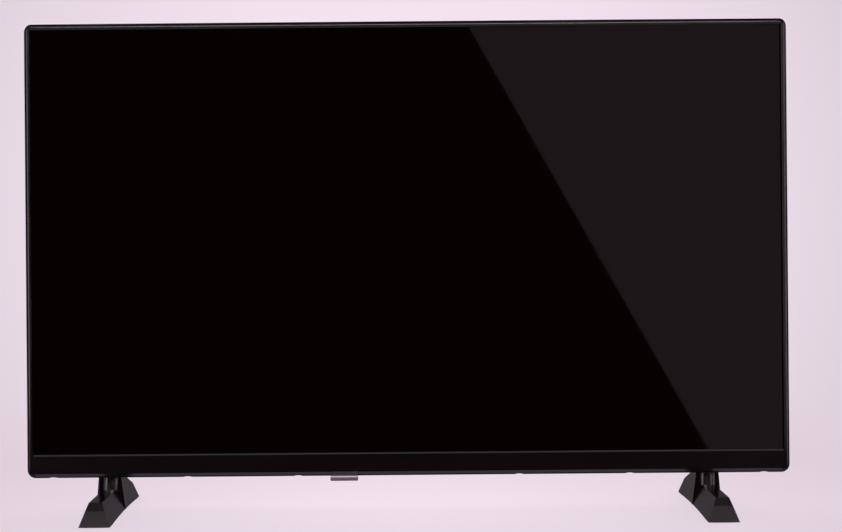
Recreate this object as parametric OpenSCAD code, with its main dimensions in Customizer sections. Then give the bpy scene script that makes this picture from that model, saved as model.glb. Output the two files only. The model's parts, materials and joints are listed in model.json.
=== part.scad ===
// Flat screen set on two bar feet: bezel, screen module, electronics, sound, rear cover and feet.
// Millimetres, Z up, screen facing -Y, origin on the floor midway between the feet.

/* [Set] */
// Width across the bezel
set_w = 732; // [700:1:800]
// Height of the set without its feet
set_h = 436; // [410:1:480]
// Depth from the bezel's front to the back of the hump
set_depth = 78; // [78:1:90]
// Height of the set's bottom edge above the floor
floor_gap = 37; // [35:1:50]

/* [Bezel] */
// Wall of the bezel
frame_wall = 2.4; // [2:0.1:2.8]
// Radius of the bezel's round outer edge
edge_r = 3.4; // [2.8:0.1:3.6]
// Depth of the bezel's side wall
frame_depth = 14; // [13:0.5:16]
// Outer corner radius at the top
corner_top_r = 6.5; // [5:0.5:9]
// Outer corner radius at the bottom
corner_base_r = 8; // [6:0.5:10]
// Width of the bezel beside the screen
lip_side = 5.6; // [5:0.1:8]
// Width of the bezel above the screen
lip_top = 6; // [5:0.1:8]
// Thickness of the bezel's lip
lip_t = 3.4; // [3:0.1:4]
// How far the inner edge of the upper lip lies behind its ridge
lip_fall = 0.5; // [0.3:0.1:1.6]
// Flat ridge between the round edge and the upper lip's slope
ridge_w = 0.4; // [0.2:0.1:1.2]
// Height of the lower bar up to the screen
chin_h = 22.3; // [20:0.1:26]
// Rim left below the trim bar
chin_rim = 4.2; // [3.6:0.1:4.4]
// How far the rim's face falls back toward the bottom edge
rim_fall = 0.9; // [0.4:0.1:1]
// Rim left beside the trim bar
chin_side = 3.6; // [3.6:0.1:5]
// Depth of the trim bar's seat behind the ridge
trim_seat = 2.2; // [1.8:0.1:2.4]
// Play around the trim bar
trim_clear = 0.2; // [0.1:0.05:0.3]
// Height of the sloped upper edge of the trim bar
trim_edge = 1.4; // [0.6:0.1:2]
// Width of each notch in the bottom edge
notch_w = 9; // [5:0.5:12]
// Depth of each notch in the bottom edge
notch_d = 1; // [0.5:0.1:1.6]
// Spacing of the inner notches
notch_pitch = 106; // [90:1:112]
// Distance of the outer notches from the set's sides
notch_end = 25; // [20:1:40]

/* [Screen module] */
// Thickness of the cell gasket
gasket_t = 0.4; // [0.3:0.1:0.6]
// How far the lip covers the cell's edge
cell_cover = 1.8; // [1.4:0.1:2]
// How far the cell reaches down behind the lower bar
cell_tail = 11.7; // [11:0.1:12]
// Thickness of the LCD cell
cell_t = 1.4; // [1:0.1:2]
// Black border between the bezel and the picture at the sides
border_side = 11.6; // [11:0.1:14]
// Black border between the bezel and the picture at top and bottom
border_end = 7.7; // [7.6:0.1:9]
// Thickness of the middle frame's ledge
ledge_t = 1.6; // [1.2:0.1:2]
// Overlap of the optical sheets on the ledge
film_overlap = 2.8; // [2:0.1:3]
// Play around the optical sheets
film_clear = 0.4; // [0.2:0.1:0.6]
// Thickness of each optical sheet
film_t = 0.3; // [0.2:0.1:0.5]
// Thickness of the diffuser plate
plate_t = 2; // [1.2:0.1:2.5]
// Thickness of the reflector sheet
reflector_t = 0.4; // [0.3:0.1:0.6]
// Sheet thickness of the backlight chassis
pan_sheet = 0.8; // [0.6:0.1:1.2]
// Depth of the backlight chassis
pan_depth = 17; // [16:0.5:20]
// Slope of the chassis walls, measured along its floor
pan_slope = 12; // [8:1:16]
// Distance of the last lens on a bar from the end of the chassis floor
lens_margin = 58.6; // [45:0.1:70]
// Lenses on each bar
lens_count = 7; // [3:2:7]
// Radius of each LED lens
lens_r = 7.5; // [6:0.5:9]
// Distance of the LED bars from the middle of the screen
bar_rise = 95; // [60:1:110]

/* [Rear cover] */
// Wall of the rear cover
cover_wall = 2.2; // [2:0.1:2.8]
// Step from the bezel's side to the rear cover's side
cover_inset = 0.6; // [0.3:0.1:1]
// Depth at which the cover's skirt starts to taper
skirt_depth = 20; // [18:0.5:22]
// Depth of the thin upper part
shell_depth = 33; // [33:0.5:35]
// Taper of the thin part toward its back
shell_taper = 9.5; // [8:0.5:12]
// Distance of the hump from the set's sides
hump_side = 31; // [26:1:36]
// Height of the hump above the bottom edge
hump_h = 262; // [256:1:290]
// Draft of the hump's sides
hump_draft_side = 35; // [25:1:40]
// Draft of the hump's top
hump_draft_top = 26; // [18:1:28]
// Rise of the underside behind the flat part
hump_rise = 10; // [6:1:12]
// Round of the hump's rear edge
hump_edge = 6; // [4:0.5:8]
// Width of a vent slot
vent_w = 3.2; // [2:0.1:4]
// Spacing of the vent slots
vent_pitch = 9; // [7:0.5:12]
// Slots in the row on top of the hump
vent_count = 49; // [31:2:53]
// Slots in each field on the back of the hump
field_count = 13; // [7:2:13]

/* [Wall mount] */
// Spacing of the wall-mount holes
vesa_pitch = 100; // [100:100:100]
// Height of the wall mount's middle above the bottom edge
vesa_rise = 180; // [170:1:180]
// Radius of a wall-mount thread
vesa_r = 2; // [2:0.5:2.5]
// Radius of a wall-mount post
post_r = 6; // [5:0.5:7]

/* [Feet] */
// Length of a foot from toe to heel
foot_len = 193; // [170:1:220]
// Width of a foot on the floor
foot_w = 29; // [27:0.1:32]
// Width of a foot on top of its front part
foot_top_w = 12.4; // [10:0.1:14]
// Height of a foot in front of its neck
foot_h = 22.2; // [20:0.1:23]
// Height of a foot behind its neck
rear_h = 24.6; // [23:0.1:28]
// Height of the lower facet of a toe
toe_h = 15; // [11:0.1:17]
// Lean of the lower facets of toe and heel
toe_lean = 5; // [3:0.5:8]
// Length of the upper facet of a toe
toe_slope = 5; // [3:0.5:10]
// Height of the lower facet of a heel
heel_h = 15; // [12:0.1:18]
// Length of the upper facet of a heel
heel_slope = 22; // [14:0.5:24]
// Clear height of the arch under a foot
arch_h = 1.2; // [0.8:0.1:3]
// Distance of a foot's centreline from the set's side
foot_inset = 75; // [72:0.5:80]
// Depth of a foot's middle behind the bezel's front
foot_setback = 29; // [29:0.5:31]
// Distance of the neck's middle behind the foot's middle
neck_back = 8; // [7:0.5:11]
// Width of the neck where it meets the set
neck_w = 21; // [20:0.1:25]
// Width of the neck's front and rear faces
neck_face = 13.9; // [12:0.1:16]
// Depth of the neck
neck_d = 28; // [26:0.5:28]
// Round of the neck's front edges
neck_r = 10.5; // [3:0.5:11]
// Round of the neck's rear edges
neck_rear_r = 3; // [2:0.5:4]
// Height of a foot's underside above the floor, filled by its pads
pad_proud = 0.6; // [0.4:0.1:1]
// Thickness of a pad
pad_t = 1.2; // [1.1:0.1:2]
// Length of a pad
pad_len = 10; // [8:0.5:14]
// Distance of a pad from the end of its foot
pad_end = 3; // [2:0.5:6]
// Width of a pad
pad_w = 20; // [14:0.5:22]
// Radius of a foot screw
foot_screw_r = 2; // [1.75:0.25:2.25]
// Spacing of the two screws in a foot
foot_screw_pitch = 14; // [12:0.5:14]

/* [Sensor and button] */
// Distance of the sensor window from the set's middle
window_off = 61.8; // [58:0.1:64]
// Width of the sensor window
window_w = 26.6; // [22:0.1:28]
// How far the window hangs below the bottom edge
window_drop = 4.6; // [3:0.1:7]
// Depth of the window front to back
window_t = 5; // [4:0.1:5.5]
// Depth of the power button's middle behind the bezel's front
button_depth = 21; // [20.5:0.5:21.5]
// Length of the power button across the set
button_w = 10; // [8:0.5:11]
// Length of the power button front to back
button_l = 8; // [6:0.5:8]
// How far the button stands out of the underside
button_proud = 1.2; // [0.8:0.1:1.6]
// Travel of the button
button_travel = 0.8; // [0.4:0.1:1]

/* [Sound] */
// Room between a speaker box and the screw well beside it
well_gap = 3.8; // [2:0.1:6]
// Room between a speaker box and the stand bracket
bracket_gap = 14; // [6:0.5:20]
// Room between a speaker box and the back face of the hump
back_gap = 8; // [8:0.5:12]
// Height of a speaker box
speaker_h = 45; // [38:0.5:47]
// Wall of a speaker box
speaker_wall = 2; // [1.5:0.1:2.2]
// Play between a driver and the walls of its box
driver_play = 0.5; // [0.3:0.1:0.6]
// Cone travel each way
cone_travel = 1; // [0.5:0.1:1]

/* [Fits] */
// Play between a screw and its thread
thread_clear = 0.05; // [0.03:0.01:0.1]
// Play of a part in a cut-out
cut_clear = 0.3; // [0.2:0.05:0.4]
// Radius of a cover screw
screw_r = 1.5; // [1.25:0.25:1.5]
// Radius of a cover screw's head
head_r = 3; // [2.8:0.1:3.2]
// Height of a screw head
head_h = 2; // [1.5:0.1:2.5]
// Distance of the inner lower cover screws from the set's middle
inner_screw_x = 110; // [104:1:114]

/* [Hidden] */
$fn = 64;
thin = 0.01;
slice = 0.5;

half_w = set_w / 2;
base_z = floor_gap;
top_z = base_z + set_h;
front_y = -foot_setback;
foot_x = half_w - foot_inset;

// Opening of the bezel
open_hw = half_w - lip_side;
open_z0 = base_z + chin_h;
open_z1 = top_z - lip_top;
trim_hw = half_w - chin_side;
trim_miter = lip_side - chin_side;

// Layers of the screen module, as depths behind the bezel's front
cell_front = lip_t + gasket_t;
cell_back = cell_front + cell_t;
prism_front = cell_back + ledge_t;
sheet_front = prism_front + film_t;
plate_front = sheet_front + film_t;
plate_back = plate_front + plate_t;
pan_front = plate_back + reflector_t;
pan_back = pan_front + pan_depth;

// Outlines of the screen module: half width, lower edge, upper edge
cell_box = [open_hw + cell_cover, open_z0 - cell_tail, open_z1 + cell_cover];
picture_box = [open_hw - border_side, open_z0 + border_end, open_z1 - border_end];
film_box = grow(picture_box, film_overlap);
mid_box = [cell_box[0] - 1, cell_box[1] - 1, cell_box[2] - 0.6];
pan_lip = 5.4;
flange_box = grow(film_box, pan_lip);
pan_box = grow(film_box, -5);
floor_box = grow(pan_box, -pan_slope);
mid_z = (open_z0 + open_z1) / 2;
lens_front = 5.5;
bar_t = 1;
bar_h = 14;
bar_front = pan_back - pan_sheet - bar_t;
beads_at = [top_z - 60, top_z - 85];
lens_pitch = 2 * (floor_box[0] - lens_margin) / (lens_count - 1);

// Boards on the back of the chassis
standoff_h = 6;
board_front = pan_back + standoff_h;
board_t = 1.6;
board_back = board_front + board_t;
board_z = [base_z + 96, base_z + 234];
main_x = [66, 235.5];
power_x = [-226, -66];
hole_inset = 6;

// Connector bays in the hump
bay_x = 238;
bay_wall = 2;
mouth_x = bay_x + 0.5;
side_bay_z = [base_z + 106, base_z + 230];
mains_bay_z = [base_z + 100, base_z + 160];
rear_bay_x = [112, 228];
rear_bay_z = [base_z + 58, base_z + 92];
rear_bay_depth = 32;
hdmi_z = [base_z + 119.5, base_z + 139.5];
hdmi_w = 15;
hdmi_t = 5.8;
usb_z = base_z + 157.6;
usb_w = 13.2;
usb_t = 7;
card_z = base_z + 195;
card_w = 58;
card_t = 8;
mains_z = base_z + 130;
mains_w = 20;
mains_t = 14;
aerial_x = 131;
dish_x = 149;
coax_x = 178;
phones_x = 204;
socket_t = board_back + 6.2;

// Screws that hold the rear cover: position across and up
well_floor = 24;
well_floor_t = 2;
well_r = head_r + 1.6;
well_wall = 1.6;
cover_screws_at = [
  [half_w - 11, base_z + 150], [half_w - 11, top_z - 106],
  [-half_w + 11, base_z + 150], [-half_w + 11, top_z - 106],
  [-230, top_z - 11], [0, top_z - 11], [230, top_z - 11],
  [-half_w + 21, base_z + 11], [-inner_screw_x, base_z + 11],
  [inner_screw_x, base_z + 11], [half_w - 21, base_z + 11]
];
boss_r = screw_r + 1.7;
boss_front = pan_front + pan_sheet + 0.2;

// Screws that hold the chassis to the middle frame
chassis_screw_r = 1.3;
chassis_screws_at = [
  for (x = [31.6 - film_box[0], -115, 115, film_box[0] - 31.6]) [x, film_box[2] + 3.1],
  for (x = [-250, -150, 150, 250]) [x, film_box[1] - 3.1],
  for (s = [-1, 1], z = [base_z + 100, base_z + 240]) [s * (film_box[0] + 3.1), z]
];

// Underside of the set and the foot's seat on it
under_z = base_z + cover_inset;
wall_top = under_z + cover_wall;
bracket_z = under_z + 6;
bracket_t = 3;
bracket_w = 30;
bracket_plate = 2.5;
tongue_w = 12;
tongue_d = 22;
foot_head_z = 15;
fix_y = neck_back + 2;
fix_t = foot_setback + fix_y;
pad_y = foot_len / 2 - pad_end - pad_len / 2;
arch_reach = foot_len / 2 - pad_end - pad_len - 3;

// Sensor board and switch
window_x = -window_off;
sensor_z = base_z + 8.4;
flange_z = wall_top + 0.25;
flange_top = flange_z + 0.8;
switch_z = flange_top + button_travel + 0.35;
plunger_top = sensor_z - 1.2 - button_travel;

// Speaker boxes, drivers and the flat part of the underside below them
speaker_front = 30;
speaker_d = set_depth - back_gap - speaker_front;
speaker_x = [inner_screw_x + well_r + well_wall + well_gap, foot_x - bracket_w / 2 - bracket_gap];
speaker_off = (speaker_x[0] + speaker_x[1]) / 2;
driver_r = speaker_d / 2 - speaker_wall - driver_play;
speaker_z = wall_top + 4;
driver_z = speaker_z + speaker_wall;
driver_t = speaker_front + speaker_d / 2;
hump_flat = driver_t + driver_r - 1;
port_r = driver_r - 3;
grille_slot = 1.8;
grille_pitch = 3.2;

vesa_z = base_z + vesa_rise;

function grow(box, d) = [box[0] + d, box[1] - d, box[2] + d];

// Size of the hump at a depth behind the bezel's front
function hump_part(t) = (t - shell_depth) / (set_depth - shell_depth);
function hump_hw(t) = half_w - hump_side - hump_draft_side * hump_part(t);
function hump_top(t) = base_z + hump_h - hump_draft_top * hump_part(t);
function hump_low(t) = under_z + max(0, hump_rise * (t - hump_flat) / (set_depth - hump_flat));

// Solid from a drawing in the XZ plane, between two depths behind the bezel's front
module between(t0, t1) {
  translate([0, front_y + t1, 0]) rotate([90, 0, 0]) linear_extrude(t1 - t0) children();
}

// Solid from a drawing of depth and height, between two places across the set
module across(x0, x1) {
  translate([x0, front_y, 0]) rotate([90, 0, 90]) linear_extrude(x1 - x0) children();
}

module block(x, t, z) {
  translate([x[0], front_y + t[0], z[0]]) cube([x[1] - x[0], t[1] - t[0], z[1] - z[0]]);
}

// Round bar running front to back
module rod(x, z, t0, t1, r) {
  translate([x, front_y + t0, z]) rotate([-90, 0, 0]) cylinder(h = t1 - t0, r = r);
}

// Round bar running across the set
module axle(x0, x1, t, z, r) {
  translate([x0, front_y + t, z]) rotate([0, 90, 0]) cylinder(h = x1 - x0, r = r);
}

// Round bar standing upright
module peg(x, t, z0, z1, r) {
  translate([x, front_y + t, z0]) cylinder(h = z1 - z0, r = r);
}

module rect(x0, x1, z0, z1) {
  translate([x0, z0]) square([x1 - x0, z1 - z0]);
}

module box2d(box) {
  rect(-box[0], box[0], box[1], box[2]);
}

// Upright rectangle with one radius at its lower and one at its upper corners
module rounded(x0, x1, z0, z1, rb, rt) {
  polygon([[x0 + rb, z0], [x1 - rb, z0], [x1, z0 + rb], [x1, z1 - rt],
           [x1 - rt, z1], [x0 + rt, z1], [x0, z1 - rt], [x0, z0 + rb]]);
  for (x = [x0 + rb, x1 - rb]) translate([x, z0 + rb]) circle(rb);
  for (x = [x0 + rt, x1 - rt]) translate([x, z1 - rt]) circle(rt);
}

// Outline of the set, drawn in by a distance
module outline(d) {
  rounded(-half_w + d, half_w - d, base_z + d, top_z - d,
          max(corner_base_r - d, 2), max(corner_top_r - d, 2));
}

// Tapered tray between two boxes at two depths
module taper(box0, t0, box1, t1) {
  hull() {
    between(t0, t0 + thin) box2d(box0);
    between(t1 - thin, t1) box2d(box1);
  }
}

module both_sides() {
  children();
  mirror([1, 0, 0]) children();
}

// Section of the bezel's rim: across from its outer face, and depth
module rim_section() {
  intersection() {
    translate([edge_r, edge_r]) circle(edge_r);
    square(edge_r);
  }
  translate([0, edge_r]) square([frame_wall, frame_depth - edge_r]);
  translate([edge_r, 0]) square([ridge_w, lip_t]);
}

module rim_corner(r) {
  rotate_extrude(angle = 90) translate([r, 0]) mirror([1, 0]) rim_section();
}

// The rim all round the set
module rim() {
  both_sides() {
    translate([-half_w, front_y, base_z + corner_base_r])
      linear_extrude(set_h - corner_base_r - corner_top_r) rim_section();
    translate([half_w - corner_top_r, front_y, top_z - corner_top_r])
      rotate([-90, 0, 0]) rotate([0, 0, -90]) rim_corner(corner_top_r);
    translate([half_w - corner_base_r, front_y, base_z + corner_base_r])
      rotate([-90, 0, 0]) rim_corner(corner_base_r);
  }
  translate([-half_w + corner_top_r, front_y, top_z]) rotate([0, 90, 0])
    linear_extrude(set_w - 2 * corner_top_r) rim_section();
  translate([-half_w + corner_base_r, front_y, base_z]) mirror([0, 0, 1]) rotate([0, 90, 0])
    linear_extrude(set_w - 2 * corner_base_r) rim_section();
}

// Face of the trim bar's seat, with its upper corners cut at 45 degrees
module trim_face(gap) {
  low = base_z + chin_rim + gap;
  hw = trim_hw - gap;
  polygon([[-hw, low], [hw, low], [hw, open_z0 - trim_miter], [open_hw - gap, open_z0],
           [-open_hw + gap, open_z0], [-hw, open_z0 - trim_miter]]);
}

module front_frame() {
  slope_w = lip_side - edge_r - ridge_w;
  notch_r = (notch_w * notch_w / 4 + notch_d * notch_d) / (2 * notch_d);
  color([0.03, 0.03, 0.035]) {
    difference() {
      union() {
        rim();
        difference() {
          between(0, lip_t) outline(edge_r);
          between(-1, lip_t + 1) rect(-open_hw, open_hw, open_z0, open_z1);
          across(-open_hw, open_hw)
            polygon([[-1, open_z1 - 1], [lip_fall, open_z1 - 1], [lip_fall, open_z1], [0, open_z1 + slope_w],
                     [-1, open_z1 + slope_w]]);
        }
      }
      between(-1, trim_seat) trim_face(0);
      across(-half_w + corner_base_r, half_w - corner_base_r)
        polygon([[-1, base_z + chin_rim], [0, base_z + chin_rim], [rim_fall, base_z], [rim_fall, base_z - 1],
                 [-1, base_z - 1]]);
      for (s = [-1, 1], x = [notch_pitch, 2 * notch_pitch, half_w - notch_end])
        rod(s * x, base_z + notch_d - notch_r, -1, 9, notch_r);
      block([window_x - window_w / 2 - trim_clear, window_x + window_w / 2 + trim_clear],
            [-1, window_t + 0.6], [base_z - 1, base_z + chin_rim]);
    }
    difference() {
      union() {
        for (p = cover_screws_at) {
          rod(p[0], p[1], boss_front, well_floor, boss_r);
          boss_rib(p);
        }
      }
      for (p = cover_screws_at) rod(p[0], p[1], boss_front + 2, well_floor + 1, screw_r + thread_clear);
    }
  }
}

// Rib that joins a screw boss to the nearest wall of the bezel
module boss_rib(p) {
  reach = frame_wall - 0.2;
  t = [boss_front, frame_depth];
  if (p[1] > top_z - 20)
    block([p[0] - 1, p[0] + 1], t, [p[1] + boss_r - 0.5, top_z - reach]);
  else if (p[1] < base_z + 20)
    block([p[0] - 1, p[0] + 1], t, [base_z + reach, p[1] - boss_r + 0.5]);
  else if (p[0] > 0)
    block([p[0] + boss_r - 0.5, half_w - reach], t, [p[1] - 1, p[1] + 1]);
  else
    block([-half_w + reach, p[0] - boss_r + 0.5], t, [p[1] - 1, p[1] + 1]);
}

module bottom_trim() {
  low = base_z + chin_rim + trim_clear;
  color([0.05, 0.05, 0.055]) difference() {
    intersection() {
      across(-trim_hw, trim_hw)
        polygon([[trim_seat, low], [0.9, low], [0.5, open_z0 - trim_edge], [1.3, open_z0],
                 [trim_seat, open_z0]]);
      between(-1, trim_seat + 1) trim_face(trim_clear);
    }
    for (s = [-1, 1]) miter_slope(s);
  }
}

// Slope along a cut upper corner of the trim bar
module miter_slope(s) {
  translate([s * (open_hw - trim_clear), 0, open_z0]) rotate([0, s * 45, 0]) across(-8, 8)
    polygon([[-1, 1], [1.3, 1], [1.3, 0], [0.5, -trim_edge], [-1, -trim_edge]]);
}

module cell_gasket() {
  color([0.05, 0.05, 0.05]) between(lip_t, cell_front) difference() {
    box2d([cell_box[0], open_z0 - 3, cell_box[2]]);
    box2d([open_hw + 0.2, open_z0 - 0.2, open_z1 + 0.2]);
  }
}

module lcd_cell() {
  color([0.01, 0.01, 0.012]) between(cell_front, cell_back) box2d(cell_box);
}

module middle_frame() {
  color([0.08, 0.08, 0.08]) difference() {
    between(cell_back, pan_front) box2d(mid_box);
    between(cell_back - 1, pan_front + 1) box2d(grow(picture_box, film_clear));
    between(prism_front, pan_front + 1) box2d(grow(film_box, film_clear));
    for (p = chassis_screws_at) rod(p[0], p[1], cell_back + 1, pan_front + 1, chassis_screw_r + thread_clear);
  }
}

module prism_sheet() {
  color([0.85, 0.87, 0.9]) between(prism_front, sheet_front) box2d(film_box);
}

module diffuser_sheet() {
  color([0.9, 0.9, 0.9]) between(sheet_front, plate_front) box2d(film_box);
}

module diffuser_plate() {
  color([0.94, 0.94, 0.94]) between(plate_front, plate_back) box2d(film_box);
}

// Places of the LED lenses: across and up
function lens_places() = [
  for (z = [mid_z - bar_rise, mid_z + bar_rise], i = [0 : lens_count - 1])
    [(i - (lens_count - 1) / 2) * lens_pitch, z]
];

module reflector_sheet() {
  gap = pan_sheet + 0.6;
  floor_back = bar_front;
  color([0.97, 0.97, 0.97]) difference() {
    union() {
      between(plate_back, pan_front) box2d(film_box);
      taper(grow(pan_box, -gap), plate_back, grow(floor_box, -gap), floor_back);
    }
    taper(grow(pan_box, -gap - reflector_t), plate_back - thin,
          grow(floor_box, -gap - reflector_t), floor_back - reflector_t);
    for (p = lens_places()) rod(p[0], p[1], floor_back - 2, floor_back + 1, lens_r + cut_clear);
  }
}

module led_bars() {
  reach = (lens_count - 1) / 2 * lens_pitch + 22;
  color([0.9, 0.9, 0.86]) for (s = [-1, 1])
    block([-reach, reach], [bar_front, bar_front + bar_t],
          [mid_z + s * bar_rise - bar_h / 2, mid_z + s * bar_rise + bar_h / 2]);
}

module led_lenses() {
  dome_r = 8.6;
  color([0.92, 0.94, 0.96]) for (p = lens_places()) intersection() {
    rod(p[0], p[1], bar_front - lens_front, bar_front, lens_r);
    translate([p[0], front_y + bar_front - lens_front + dome_r, p[1]]) sphere(dome_r);
  }
}

// Places of the screws in the corners of a board: across and up
function corner_holes(x, z) = [
  for (px = [x[0] + hole_inset, x[1] - hole_inset], pz = [z[0] + hole_inset, z[1] - hole_inset]) [px, pz]
];
board_holes = concat(corner_holes(main_x, board_z), corner_holes(power_x, board_z));
bracket_holes = [for (s = [-1, 1], z = [bracket_z + 46, bracket_z + 58]) [s * foot_x, z]];

module backlight_chassis() {
  bead = 3;
  color([0.72, 0.73, 0.74]) difference() {
    union() {
      taper(pan_box, pan_front, floor_box, pan_back);
      between(pan_front, pan_front + pan_sheet) box2d(flange_box);
      for (p = board_holes) rod(p[0], p[1], pan_back - 0.4, board_front, 4);
      for (z = beads_at) chassis_bead(z, pan_back + bead, 8);
    }
    taper(grow(pan_box, -pan_sheet), pan_front - thin, grow(floor_box, -pan_sheet), pan_back - pan_sheet);
    for (z = beads_at) chassis_bead(z, pan_back + bead - pan_sheet, 8 - pan_sheet);
    for (p = board_holes) rod(p[0], p[1], pan_back + 1, board_front + 1, screw_r + thread_clear);
    for (p = bracket_holes) rod(p[0], p[1], pan_back - 2, pan_back + 1, screw_r + thread_clear);
    for (p = chassis_screws_at) rod(p[0], p[1], pan_front - 1, pan_front + 2, chassis_screw_r + 0.2);
  }
}

// Pressed stiffening bead across the chassis
module chassis_bead(z, back, hw) {
  len = floor_box[0] - 60;
  between(pan_back - pan_sheet - thin, back)
    rounded(-len - hw, len + hw, z - hw, z + hw, hw - thin, hw - thin);
}

module chassis_screws() {
  color([0.6, 0.6, 0.62]) {
    for (p = chassis_screws_at) {
      rod(p[0], p[1], cell_back + 1.4, pan_front + pan_sheet, chassis_screw_r);
      rod(p[0], p[1], pan_front + pan_sheet, pan_front + pan_sheet + 1.4, 2.3);
    }
    for (p = bracket_holes) {
      rod(p[0], p[1], pan_back - 1.4, pan_back + bracket_plate, screw_r);
      rod(p[0], p[1], pan_back + bracket_plate, pan_back + bracket_plate + head_h, head_r);
    }
  }
}

source_z = [floor_box[1] + 3, floor_box[1] + 15];
source_t = 1.2;
film_w = 40;
films_at = [-180, 0, 180];

module source_board() {
  color([0.08, 0.3, 0.16]) block([-240, 240], [pan_back, pan_back + source_t], source_z);
}

module source_films() {
  back = pan_back + source_t;
  front = cell_front + 0.6;
  low = base_z + 6.6;
  color([0.55, 0.35, 0.12]) for (x = films_at) across(x - film_w / 2, x + film_w / 2) {
    polygon([[front, cell_box[1]], [front, low], [back + 0.2, low], [back + 0.2, source_z[0] + 4],
             [back, source_z[0] + 4], [back, low + 0.2], [front + 0.2, low + 0.2],
             [front + 0.2, cell_box[1]]]);
  }
}

module pcb(x, z) {
  difference() {
    block(x, [board_front, board_back], z);
    for (p = corner_holes(x, z)) rod(p[0], p[1], board_front - 1, board_back + 1, screw_r + 0.2);
  }
}

module main_board() {
  color([0.06, 0.32, 0.17]) pcb(main_x, board_z);
}

cpu_x = 96;
cpu_z = base_z + 172;
cpu_t = 2;

module processor() {
  color([0.1, 0.1, 0.1]) {
    block([cpu_x - 12, cpu_x + 12], [board_back, board_back + cpu_t], [cpu_z - 12, cpu_z + 12]);
    for (z = [cpu_z - 40, cpu_z + 34])
      block([cpu_x - 7, cpu_x + 7], [board_back, board_back + 1.2], [z - 5, z + 5]);
  }
}

module heat_sink() {
  sink_t = board_back + cpu_t;
  hw = 20;
  fins = 9;
  step = (2 * hw - 1.4) / (fins - 1);
  color([0.7, 0.71, 0.72]) {
    block([cpu_x - hw, cpu_x + hw], [sink_t, sink_t + 2], [cpu_z - hw, cpu_z + hw]);
    for (i = [0 : fins - 1])
      block([cpu_x - hw + i * step, cpu_x - hw + i * step + 1.4], [sink_t + 1, sink_t + 14],
            [cpu_z - hw, cpu_z + hw]);
  }
}

module tuner_can() {
  color([0.75, 0.75, 0.74]) difference() {
    union() {
      block([122, 158], [board_back, board_back + 11.6], [board_z[0], board_z[0] + 34]);
      peg(aerial_x, socket_t, board_z[0] - 13, board_z[0] + 0.5, 6);
      peg(dish_x, socket_t, board_z[0] - 13, board_z[0] + 0.5, 4.7);
      peg(dish_x, socket_t, board_z[0] - 3, board_z[0] + 0.5, 5.6);
    }
    difference() {
      peg(aerial_x, socket_t, board_z[0] - 14, board_z[0] - 2, 4.8);
      peg(aerial_x, socket_t, board_z[0] - 10, board_z[0], 1.6);
    }
    peg(aerial_x, socket_t, board_z[0] - 14, board_z[0] - 3, 0.9);
    peg(dish_x, socket_t, board_z[0] - 14, board_z[0] - 3, 1);
  }
}

// Mouth of an HDMI socket: depth and height about its middle
module hdmi_shape(w, h) {
  polygon([[0, -w / 2], [h * 0.45, -w / 2], [h, -w / 2 + 2], [h, w / 2 - 2], [h * 0.45, w / 2], [0, w / 2]]);
}

module hdmi_sockets() {
  skin = 0.5;
  depth = 12;
  color([0.7, 0.7, 0.7]) for (z = hdmi_z) {
    difference() {
      across(mouth_x - depth, mouth_x) translate([board_back, z]) hdmi_shape(hdmi_w, hdmi_t);
      across(mouth_x - depth + 3, mouth_x + 1) translate([board_back + skin, z])
        hdmi_shape(hdmi_w - 2 * skin, hdmi_t - 2 * skin);
    }
    block([mouth_x - depth + 2, mouth_x - 1.2], [board_back + 2.3, board_back + 3.3], [z - 5.4, z + 5.4]);
  }
}

module usb_socket() {
  skin = 0.5;
  depth = 14;
  color([0.72, 0.72, 0.72]) {
    difference() {
      block([mouth_x - depth, mouth_x], [board_back, board_back + usb_t],
            [usb_z - usb_w / 2, usb_z + usb_w / 2]);
      block([mouth_x - depth + 3, mouth_x + 1], [board_back + skin, board_back + usb_t - skin],
            [usb_z - usb_w / 2 + skin, usb_z + usb_w / 2 - skin]);
    }
    block([mouth_x - depth + 2, mouth_x - 1], [board_back + 1.4, board_back + 3.2],
          [usb_z - 5.5, usb_z + 5.5]);
  }
}

card_slot_t = 5.6;
card_slot_w = card_w - 3;
card_depth = 88;
module card_cage() {
  color([0.68, 0.69, 0.7]) difference() {
    block([mouth_x - card_depth, mouth_x], [board_back, board_back + card_t],
          [card_z - card_w / 2, card_z + card_w / 2]);
    block([mouth_x - card_depth + 6, mouth_x + 1], [board_back + 1.2, board_back + 1.2 + card_slot_t],
          [card_z - card_slot_w / 2, card_z + card_slot_w / 2]);
  }
}

module audio_jacks() {
  color([0.09, 0.09, 0.09]) {
    difference() {
      union() {
        block([coax_x - 6, coax_x + 6], [board_back, board_back + 11.6], [board_z[0], board_z[0] + 12]);
        peg(coax_x, socket_t, board_z[0] - 11, board_z[0] + 0.5, 4.2);
      }
      peg(coax_x, socket_t, board_z[0] - 12, board_z[0] - 1, 1.6);
    }
    difference() {
      union() {
        block([phones_x - 6, phones_x + 6], [board_back, board_back + 10], [board_z[0], board_z[0] + 14]);
        peg(phones_x, socket_t, board_z[0] - 4, board_z[0] + 0.5, 3.8);
      }
      peg(phones_x, socket_t, board_z[0] - 5, board_z[0] + 10, 1.8);
    }
  }
}

ribbon_x = [79, 105];
module screen_connector() {
  color([0.85, 0.83, 0.76]) block([ribbon_x[0] - 2, ribbon_x[1] + 2], [board_back, board_back + 3.6],
                                  [board_z[0] + 3, board_z[0] + 9]);
}

module screen_ribbon() {
  back = pan_back + source_t;
  run = board_back + 1.6;
  low = source_z[1] - 4;
  color([0.88, 0.88, 0.86]) across(ribbon_x[0], ribbon_x[1])
    polygon([[back, low], [back + 0.3, low], [back + 0.3, board_z[0] - 9], [run + 0.3, board_z[0] - 5],
             [run + 0.3, board_z[0] + 3], [run, board_z[0] + 3], [run, board_z[0] - 4.7],
             [back, board_z[0] - 8.7]]);
}

module power_board() {
  color([0.45, 0.33, 0.14]) pcb(power_x, board_z);
}

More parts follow.
